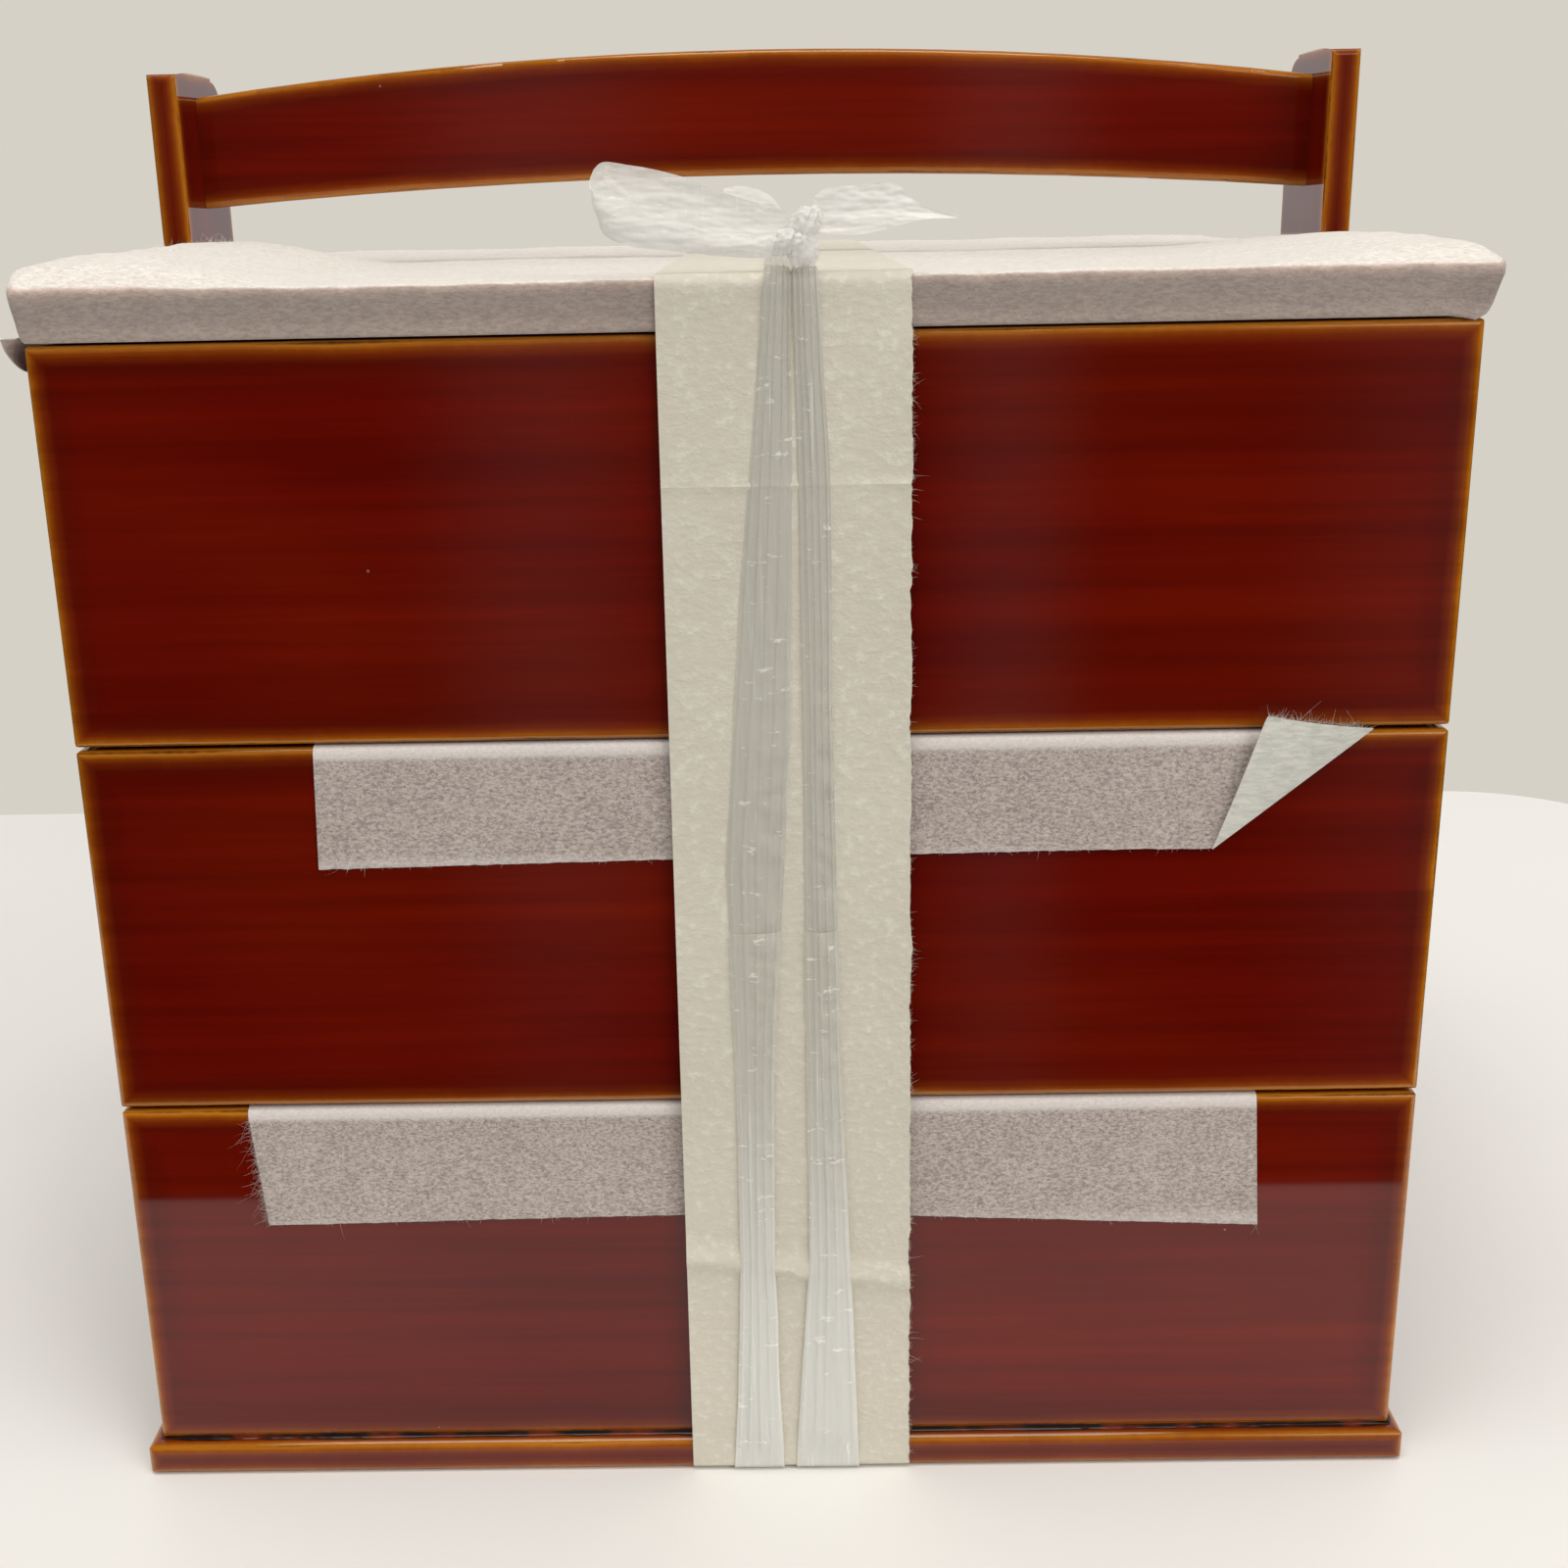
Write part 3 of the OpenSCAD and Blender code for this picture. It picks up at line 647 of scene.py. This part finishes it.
cells = 130
ticks = np.linspace(-1, 1, cells + 1)
border = np.array([(t, -1) for t in ticks[:-1]] + [(1, t) for t in ticks[:-1]]
                  + [(-t, 1) for t in ticks[:-1]] + [(-1, -t) for t in ticks[:-1]])
edge_place, edge_away = lid_border(border)
post_room = smooth_step(np.abs(edge_place[:, 1]) / mm, 15.5, 26)
at_end = np.abs(edge_away[:, 0])
free = 1 - at_end * (1 - post_room)
flat_edge = np.concatenate([edge_place, np.zeros((len(border), 1))], axis=1)
slack = 0.5 + 0.2 * rough(flat_edge, 60)
gather = (1.25 + 0.7 * rough(flat_edge, 85) + 0.3 * rough(flat_edge, 300)) * at_end * post_room
corner_tuck = smooth_step(edge_place[:, 0] / mm, 93.5, 96.8) * smooth_step(-edge_place[:, 1] / mm, 90, 97)
top_edge = sheet_height(*(edge_place + edge_away * 0.3 * mm).T)
tuck = 0.7 * np.exp(-((edge_place[:, 0] / mm - 95.6) / 1.2) ** 2) * smooth_step(-edge_place[:, 1], 0.096, 0.097)

rings = []
for inset in (6, 4, 2.2, 0.9):
    z = np.full(len(border), seam_rim + 0.28 * mm)
    rings.append(np.column_stack([edge_place * (1 - inset * mm / lid_half), z]))
for rise, swell in ((0.0, -0.2), (0.04, 0.5), (0.12, 0.85), (0.25, 1), (0.4, 1), (0.55, 1), (0.7, 1.02),
                    (0.82, 1), (0.91, 0.85), (0.97, 0.3), (1.0, -0.9)):
    bulge = gather * (0.15 + 0.85 * min(1, rise / 0.75)) * min(1, max(0, (1.04 - rise) * 7))
    out = (free * slack * swell + bulge + (1 - free) * 0.1) * mm
    out += corner_tuck * mm * (1.1 * min(1, rise / 0.7) - 0.15) * (rise < 0.99)
    low = seam_rim + (0.35 - tuck) * mm
    wrinkle = rough(np.column_stack([edge_place, np.full(len(border), rise * 7 * mm)]), 330, 2) * 0.1 * mm
    place = edge_place + edge_away * (out + wrinkle * free * (rise < 0.95))[:, None]
    rings.append(np.column_stack([place, low + rise * (top_edge - low)]))

around = len(border)
points = list(np.concatenate(rings))
faces = [[k * around + i, k * around + (i + 1) % around, (k + 1) * around + (i + 1) % around, (k + 1) * around + i]
         for k in range(len(rings) - 1) for i in range(around)]
top_index = {}
for i, (bu, bv) in enumerate(border):
    key = (round((bu + 1) * cells / 2), round((bv + 1) * cells / 2))
    top_index[key] = (len(rings) - 1) * around + i
inside = [(i, j) for i in range(1, cells) for j in range(1, cells)]
unit = np.array(inside) / cells * 2 - 1
far = np.abs(unit).max(axis=1, keepdims=True)
flat = lid_border(unit / np.maximum(far, 1e-9))[0] * far * (1 - 1.4 * mm / lid_half)
for key, place, z in zip(inside, flat, sheet_height(*flat.T)):
    top_index[key] = len(points)
    points.append(np.array([*place, z]))
faces += [[top_index[i, j], top_index[i + 1, j], top_index[i + 1, j + 1], top_index[i, j + 1]]
          for i in range(cells) for j in range(cells)]


def thickened(points, faces, hem, thick, first=0):
    """Gives an open sheet a back. hem is the ring of points along its free edge."""
    outer = bpy.data.meshes.new("outer")
    outer.from_pydata([tuple(p) for p in points], [], faces)
    normals = np.array([v.normal for v in outer.vertices])
    bpy.data.meshes.remove(outer)
    count = len(points)
    both = np.concatenate([np.array(points), np.array(points) - normals * thick])
    made = [[i + first for i in face] for face in faces]
    made += [[i + count + first for i in face[::-1]] for face in faces]
    made += [[b + first, a + first, a + count + first, b + count + first] for a, b in zip(hem, hem[1:] + hem[:1])]
    return both, made


crest_y = np.linspace(-60, -8, 30) * mm
crest = np.column_stack([np.full(30, -90 * mm), crest_y, sheet_height(np.full(30, -90 * mm), crest_y)])
lobe_rows = []
for fall in np.linspace(0, 1, 14):
    row = []
    for s in np.linspace(0, 1, 36):
        depth = 5.0 * mm * math.sin(math.pi * min(1, s * 1.25) ** 0.8) ** 0.6 if s < 0.8 else 0.4 * mm
        y = (-97.6 + 24 * s) * mm
        x = (-98.2 - 1.5 * math.sin(fall * 2.4) - 0.8 * fall + 0.5 * math.sin(9 * s) * fall) * mm
        row.append((x, y, 176.6 * mm - depth * fall))
    lobe_rows.append(row)

lid_tissue, start, body, bump = tissue("lid_tissue", "ffffff", "b3aaa4", (900, 1700, 2600), 0.3)
place = start.node("TexCoord", None, None, "Object")
height = place.parts()[2]
# Tone by height on the turned-down edges: partly the lacquer showing through the tissue, partly painted light, grey on
# the front and painted brighter towards the top edge, where light from above falls.
level_share = (height + (place.noise(260, 3) - 0.5) * 1.2 * mm - seam_rim) / (9 * mm)
shown_through_and_painted_light = level_share.ramp([(0, "d0c0b6"), (0.16, "bdada3"), (0.3, "ab9d95"), (0.6, "a99c94"),
                                  (0.74, "bda99e"), (0.83, "e6cfc2"), (0.9, "f6eee6"), (1, "fbf7f0")])
# Faces that point up are painted lighter still: painted light from above on the sheet's top.
faces_up = start.node("TexCoord", None, None, "Normal").parts()[2].rise(0.6, 0.93)
shown_through_and_painted_light = faces_up.blend(shown_through_and_painted_light, colour("f1ebe2"))
body = start.node("Mix", {"data_type": "RGBA", "blend_type": "MULTIPLY"}, {0: 0.6, 6: shown_through_and_painted_light, 7: body}, 2)
close_tissue(start, body, bump)
lid_sheet = new_piece("lid_tissue_sheet", *joined(
    lambda n: thickened(points, faces, list(range(around)), 0.15 * mm, n),
    lambda n: shell(lobe_rows, 0.15 * mm, n),
    lambda n: fuzz(crest, (0, -0.2, 1), 150, 0.8 * mm, 21, n, 0.7)), lid_tissue)
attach(lid_sheet, "lid")
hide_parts("lid_wrap")


# Paper band: one strip of thick soft paper, cut clean along its left edge and torn along its right. It goes
# under the base board, up both faces and over the lid. It is made in lengths.
band_t = 0.4 * mm
band_left, band_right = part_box("band_base")[0].x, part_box("band_base")[1].x
band_foot, band_head = -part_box("band_base")[0].y, -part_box("band_lid")[0].y
base_top, band_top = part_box("base_board")[1].z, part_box("band_lid")[1].z
under_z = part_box("tape_base")[0].z + 0.4 * mm
crease_z, fold_z, low_break = 155.3 * mm, 35.5 * mm, 91 * mm


def band_out(z):
    """Distance of the band's outer face from the box's middle, at a height on the front or back."""
    return np.interp(z, [base_top, lid_low.z], [band_foot, band_head])


def up_face(low, high, side, step=0.8 * mm):
    """Path up the front (side -1) or back (side 1), as (distance, height) points."""
    count = max(2, int((high - low) / step))
    return [(side * float(band_out(z)), z) for z in np.linspace(low, high, count)]


def round_bend(middle, radius, start, end, count=7):
    """Points of an arc from one angle to another, in degrees from +Y towards +Z."""
    return [(middle[0] + radius * math.cos(math.radians(a)), middle[1] + radius * math.sin(math.radians(a)))
            for a in np.linspace(start, end, count)]


bend = 0.9 * mm
over_r = 1.8 * mm


def under_path(top, gap=0):
    """Down the back from the given height, under the base board and up the front; gap is outwards."""
    down = up_face(bend + under_z, top, 1)[::-1]
    along = [(y, under_z) for y in np.linspace(band_foot - bend, bend - band_foot, 60)]
    return ([(y + gap, z) for y, z in down[:-1]]
            + round_bend((band_foot - bend, under_z + bend), bend + gap, 0, -90)[:-1]
            + [(y, z - gap) for y, z in along[1:-1]]
            + round_bend((bend - band_foot, under_z + bend), bend + gap, 270, 180)[:-1]
            + [(-y - gap, z) for y, z in down[::-1]])


def over_path(low, gap=0):
    """Up the front from the given height, over the lid and down the back."""
    up = up_face(low, band_top - over_r, -1)
    along = [(y, band_top) for y in np.linspace(over_r - band_head, band_head - over_r, 60)]
    return ([(y - gap, z) for y, z in up]
            + round_bend((over_r - band_head, band_top - over_r), over_r + gap, 180, 90)[1:]
            + [(y, z + gap) for y, z in along[1:-1]]
            + round_bend((band_head - over_r, band_top - over_r), over_r + gap, 90, 0)
            + [(-y + gap, z) for y, z in up[::-1][1:]])


def path_normals(path):
    """Outward direction at each point of a path that goes from back to front below, or front to back above."""
    way = np.gradient(np.array(path), axis=0)
    way /= np.linalg.norm(way, axis=1, keepdims=True)
    return np.column_stack([-way[:, 1], way[:, 0]])


def band_rows(path, turn):
    """Rows of the band's outer points along a path. turn is 1 if the path keeps the box on its right."""
    path = np.array(path)
    outward = path_normals(path) * turn
    u = np.linspace(0, 1, 44)
    along = np.concatenate([[0], np.cumsum(np.linalg.norm(np.diff(path, axis=0), axis=1))])
    rows = []
    for (y, z), (ny, nz), s in zip(path, outward, along):
        tear = rough([(0.3, y, z)], 700, 3)[0] * 0.22 * mm + rough([(0.7, y, z)], 120, 2)[0] * 0.25 * mm
        x = band_left + u * (band_right + tear - band_left)
        swell = rough(np.column_stack([x, np.full(len(u), y), np.full(len(u), z)]), 28, 2) * 0.22
        swell += rough(np.column_stack([x * 0.5, np.full(len(u), y), np.full(len(u), z)]), 14, 1) * 0.2
        lift = 0.16 + swell + 0.25 * np.clip((u - 0.8) / 0.2, 0, 1) ** 2
        if abs(y) > half_d:
            sway = 0.7 * mm * np.sin(5 * u + 1)
            ridge = 0.30 * np.exp(-((z - crease_z - sway * 0.5) / (0.38 * mm)) ** 2)
            drop = fold_z + (1.6 - 3.6 * u) * mm + sway * 0.4 - z
            ridge = ridge + 0.75 * smooth_step(drop, -4.2 * mm, 0.2 * mm) * (1 - smooth_step(drop, 0.2 * mm, 1.4 * mm))
            lift = np.maximum(lift, 0) + ridge * (y < 0)
            lift *= smooth_step(z, 0.004, 0.012) * (1 - smooth_step(z, 0.172, 0.180))
        else:
            lift = 0 * u
        lift = np.maximum(lift, 0) * mm
        rows.append(np.column_stack([x, y + ny * lift, z + nz * lift]))
    return np.array(rows)[:, ::turn]


def torn_edge(rows):
    """The band's right edge, where it shows above the table; a length of the back only is taken whole."""
    edge = rows[:, -1] if rows[0, -1, 0] > rows[0, 0, 0] else rows[:, 0]
    shown = edge[(edge[:, 1] < -half_d * 0.98) & (edge[:, 2] > 2 * mm)]
    return shown if len(shown) > 1 else edge


band_paper, start = new_material("band_paper")
place = start.node("TexCoord", None, None, "Object")
tooth = place.stretched(1, 1, 1.35).noise(620, 3, 0.6)
cloud = place.noise(42, 3)
height = place.parts()[2]
body = (cloud * 0.5 + tooth * 0.5).blend(colour("cbc3b1"), colour("e0dbcc"))
body = ((tooth.rise(0.52, 0.75)) * 0.5).blend(body, colour("eae7dc"))
bump = start.node("Bump", None, {"Strength": 1.0, "Distance": 0.2 * mm, "Height": tooth + cloud * 0.4})
close_material(start, start.node("BsdfPrincipled", None, {
    "Base Color": body, "Roughness": 0.92, "Specular IOR Level": 0.2, "Sheen Weight": 0.15, "Normal": bump}))


def band_piece(name, path, turn, nodes, seed):
    rows = band_rows(path, turn)
    hairs = int(len(rows) * 1.9)
    piece = new_piece(name, *joined(lambda n: shell(rows, band_t, n),
                                    lambda n: fuzz(torn_edge(rows), (0.9, 0, 0), hairs, 0.42 * mm, seed, n, 0.6)),
                      band_paper)
    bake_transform(piece)
    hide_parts(*nodes)
    return piece


def around_seam(rim):
    """Heights from 14 mm below a seam's rim to 15 mm above it."""
    return rim - 14 * mm, rim + 15 * mm


seams = [around_seam(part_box(f"{tier}_front")[1].z) for tier in ("bottom", "middle", "top")]
seams[2] = (158 * mm, 174 * mm)
band_piece("band_under_base", under_path(low_break), 1, ["band_base"],
           31)
for side, end in ((-1, "front"), (1, "back")):
    band_piece(f"band_{end}", up_face(low_break, crease_z, side), side * -1, ["band_middle"],
               33 + side)
band_piece("band_over_lid", over_path(crease_z), 1, ["band_top", "band_lid"],
           37)


# Tape: thin clear film, gathered lengthwise into two flat strands that run over the band on both faces,
# under the base board and over the lid, and are knotted at the lid's front edge.
film_t = 0.1 * mm
strand_heights = np.array([0, 14, 38, 69, 101, 121, 155, 183]) * mm
strand_edges = {
    "left": (np.array([-6.1, -5.2, -4.3, -4.4, -5.1, -3.6, -0.9, 1.9]) * mm,
             np.array([1.8, 1.4, 0.9, 1.3, 3.3, 4.4, 5.2, 5.4]) * mm),
    "right": (np.array([3.7, 4.5, 6.2, 6.1, 6.1, 6.2, 5.9, 5.5]) * mm,
              np.array([13.6, 13.2, 12.4, 11.2, 10.7, 10.4, 10.4, 9.0]) * mm)}
strand_places = {"left": [0.08, 0.3, 0.52, 0.74, 0.93], "right": [0.06, 0.26, 0.45, 0.68, 0.9]}


def film_rows(path, side, seed):
    """Rows of one strand's outer points along a path: a flattened tube of film with pleats and crinkles."""
    path = np.array(path)
    outward = path_normals(path)
    u = np.linspace(0, 1, 64)
    low_edge, high_edge = strand_edges[side]
    rows = []
    for (y, z), (ny, nz) in zip(path, outward):
        low = np.interp(z, strand_heights, low_edge) + 0.12 * mm * noise.noise((seed, z * 90, 0))
        high = np.interp(z, strand_heights, high_edge) + 0.12 * mm * noise.noise((seed + 9, z * 90, 0))
        over = abs(y) < band_head - 3 * mm and z > lid_low.z
        off_table = smooth_step(z, 0.0015, 0.008)
        x = low + u * (high - low)
        body = np.sin(math.pi * u) ** 0.7 * (0.45 + 0.15 * noise.noise((seed + 3, z * 40, 2)))
        pleats = 0
        for k, at in enumerate(strand_places[side]):
            drift = 0.05 * noise.noise((seed + k * 3.7, z * 22, 5))
            high_k = 0.34 * (0.6 + 0.6 * noise.noise((seed + k * 5.1, z * 35, 8)))
            pleats = pleats + high_k * np.exp(-((u - at - drift) / 0.035) ** 2)
        crumple = smooth_step(z, 0.030, 0.060) * (1 - smooth_step(z, 0.112, 0.150))
        at = np.column_stack([x, np.full(len(u), y), np.full(len(u), z)])
        crinkle = rough(at * (0.45, 1, 1), 420, 3) * 0.36 * crumple * smooth_step(u, 0.25, 0.6)
        crinkle = crinkle + rough(at * (1, 1, 0.12), 900, 2) * 0.06
        lift = (body + pleats + crinkle) * (0.35 if over else 1)
        lift = (np.maximum(lift, 0.05) + 0.30) * off_table * mm
        rows.append(np.column_stack([x, y + ny * lift, z + nz * lift]))
    return np.array(rows)


def clear_film(name, low_tint, high_tint, clear, glints):
    made, start = new_material(name)
    place = start.node("TexCoord", None, None, "Object")
    height = place.parts()[2]
    lines = place.stretched(900, 900, 25).noise(1, 3, 0.6)
    marks = place.stretched(0.5, 1, 1.4).noise(520, 3, 0.6)
    body = height.rise(0.02, 0.085).blend(colour(low_tint), colour(high_tint))
    # Painted glints: near-white streaks on the pleat lines and crinkle marks stand in for highlights on the film,
    # which is also made more opaque there.
    painted_glints = lines.rise(0.62, 0.8).most(marks.rise(0.61, 0.74))
    body = (painted_glints * glints).blend(body, colour("fbfaf4"))
    alpha = clear + (1 - clear) * (0.25 * height.rise(0.09, 0.02) + 0.55 * painted_glints + 0.35 * (lines - 0.5))
    bump = start.node("Bump", None, {"Strength": 0.5, "Distance": 0.08 * mm, "Height": lines + marks * 0.6})
    close_material(start, start.node("BsdfPrincipled", None, {
        "Base Color": body, "Roughness": 0.28, "Specular IOR Level": 0.55, "Alpha": alpha.least(0.97),
        "Normal": bump}))
    return made


tape_film = clear_film("tape_film", "f6f6f1", "dddbd1", 0.40, 0.85)


def tape_piece(name, paths, nodes):
    """Both strands of one length of tape. paths is a list of paths that keep the box on their right."""
    lumps = []
    for seed, side in ((2.0, "left"), (41.0, "right")):
        for path in paths:
            rows = film_rows(path, side, seed)
            if path[0][0] > 0 and path[-1][0] > 0 and path[-1][1] > path[0][1]:
                rows = rows[:, ::-1]
            lumps.append(lambda n, rows=rows: shell(rows, film_t, n))
    piece = new_piece(name, *joined(*lumps), tape_film)
    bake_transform(piece)
    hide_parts(*nodes)
    return piece


tape_piece("tape_under_base", [under_path(low_break, 0.3 * mm)], ["tape_base"])
tape_piece("tape_front", [up_face(low_break, crease_z, -1)], ["tape_middle"])
back_rise = up_face(low_break, crease_z, 1)[::-1]
tape_piece("tape_back", [back_rise], [])
tape_piece("tape_over_lid", [over_path(crease_z)], ["tape_top", "tape_lid"])


# Knot, loop and tails: the tape's ends are tied in a half bow. Its loop is a wide flat fold of film that
# stands out to the left over the lid's edge; one tail points right and a short one lies behind.
knot_low, knot_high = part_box("knot")
knot_x = (knot_low.x + knot_high.x) / 2


def spline(stations, count):
    """Smooth curve through stations, each a point or a list of points, by Catmull and Rom's rule."""
    ends = np.array(stations, float)
    ends = np.concatenate([[2 * ends[0] - ends[1]], ends, [2 * ends[-1] - ends[-2]]])
    curve = []
    for t in np.linspace(0, len(stations) - 1.0001, count):
        i, f = int(t), t - int(t)
        a, b, c, d = ends[i:i + 4]
        curve.append(0.5 * (2 * b + (c - a) * f + (2 * a - 5 * b + 4 * c - d) * f ** 2
                            + (3 * b - a - 3 * c + d) * f ** 3))
    return np.array(curve)


def ribbon(stations, count, wide, crumple, seed, bow=0.0):
    """Rows of a film ribbon between two edges that go through stations of (lower, upper) points, in mm."""
    edges = spline(stations, count) * mm
    u = np.linspace(0, 1, wide)
    rows = np.array([low + np.outer(u, high - low) for low, high in edges])
    along, across = np.gradient(rows, axis=0), np.gradient(rows, axis=1)
    normal = np.cross(across, along)
    normal /= np.maximum(np.linalg.norm(normal, axis=2, keepdims=True), 1e-12)
    place = rows.reshape(-1, 3)
    folds = rough(place * (0.35, 1, 1) + seed * mm, 520, 3).reshape(rows.shape[:2]) * crumple
    folds += bow * np.sin(math.pi * u)[None, :]
    return rows + normal * folds[:, :, None] * mm


loop_stations = [
    ((4.6, -99.2, 185.8), (4.6, -99.4, 188.4)), ((1.5, -100.4, 185.1), (1.5, -100.6, 187.9)),
    ((-4, -101.2, 185.5), (-4, -101.3, 188.4)), ((-9.5, -101.7, 186.2), (-9.5, -101.7, 190.1)),
    ((-15.2, -101.8, 186.9), (-15.2, -101.4, 192.3)), ((-18.6, -100.6, 188.3), (-20.2, -100.2, 194.0)),
    ((-18.9, -98.6, 190.2), (-19.2, -98.0, 197.2)), ((-15.5, -97.6, 190.2), (-15.5, -96.9, 197.0)),
    ((-9.5, -97.4, 188.6), (-9.5, -96.6, 195.7)), ((-3, -97.4, 187.4), (-3, -96.5, 193.3)),
    ((4.8, -97.6, 186.6), (4.8, -96.6, 190.9))]
tail_stations = [
    ((8.0, -98.4, 187.6), (8.2, -97.8, 190.6)), ((9.6, -98.6, 187.9), (9.3, -97.6, 193.2)),
    ((14.5, -99.0, 187.7), (14.0, -97.6, 193.9)), ((18.8, -99.1, 188.6), (18.9, -97.8, 194.1)),
    ((22.6, -98.8, 189.4), (22.0, -98.0, 191.6)), ((27.6, -98.4, 189.5), (27.5, -98.3, 189.8))]
rear_stations = [
    ((4.6, -95.6, 187.4), (4.8, -95.4, 190.4)), ((2.6, -94.6, 188.4), (2.8, -94.2, 192.9)),
    ((-0.9, -93.9, 189.5), (-0.6, -93.5, 194.1)), ((-3.6, -93.9, 190.4), (-3.2, -93.7, 193.9))]
bow_film = clear_film("bow_film", "fbfaf6", "f4f2ec", 0.6, 0.8)
loop_rows = ribbon(loop_stations, 190, 44, 0.16, 3, 0.35)
tail_rows = ribbon(tail_stations, 90, 40, 0.22, 8, 0.2)
rear_rows = ribbon(rear_stations, 40, 26, 0.2, 13, 0.3)
bow = new_piece("tape_bow", *joined(lambda n: shell(loop_rows, film_t, n), lambda n: shell(tail_rows, film_t, n),
                                    lambda n: shell(rear_rows, film_t, n)), bow_film)
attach(bow, "lid")
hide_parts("bow")


def crumpled_ball(centre, radii, lean, seed, first):
    """A lump of wrung film: an egg with wrung pleats round it."""
    around, rings = 72, 44
    points = []
    for i in range(rings + 1):
        polar = math.pi * i / rings
        for j in range(around):
            turn = 2 * math.pi * j / around
            way = np.array([math.sin(polar) * math.cos(turn), math.sin(polar) * math.sin(turn), math.cos(polar)])
            pleat = 0.10 * math.cos(9 * turn + 3.2 * polar + seed) * math.sin(polar)
            swell = 1 + pleat + 0.16 * noise.fractal(Vector(way) * 1.7 + Vector((seed, 0, 0)), 0.7, 2, 4)
            at = way * radii * swell
            at[0] += lean * at[2]
            points.append((np.array(centre) + at) * mm)
    faces = [[first + i * around + j, first + (i + 1) * around + j, first + (i + 1) * around + (j + 1) % around,
              first + i * around + (j + 1) % around] for i in range(rings) for j in range(around)]
    return np.array(points), faces


knot = new_piece("tape_knot", *joined(
    lambda n: crumpled_ball((4.7, -99.0, 187.0), (2.3, 1.7, 1.7), 0.3, 1, n),
    lambda n: crumpled_ball((7.3, -98.2, 189.2), (2.1, 1.6, 2.2), 0.35, 5, n),
    lambda n: crumpled_ball((7.0, -98.9, 186.2), (2.0, 1.3, 2.4), -0.05, 9, n)), bow_film)
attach(knot, "lid")
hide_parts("knot")
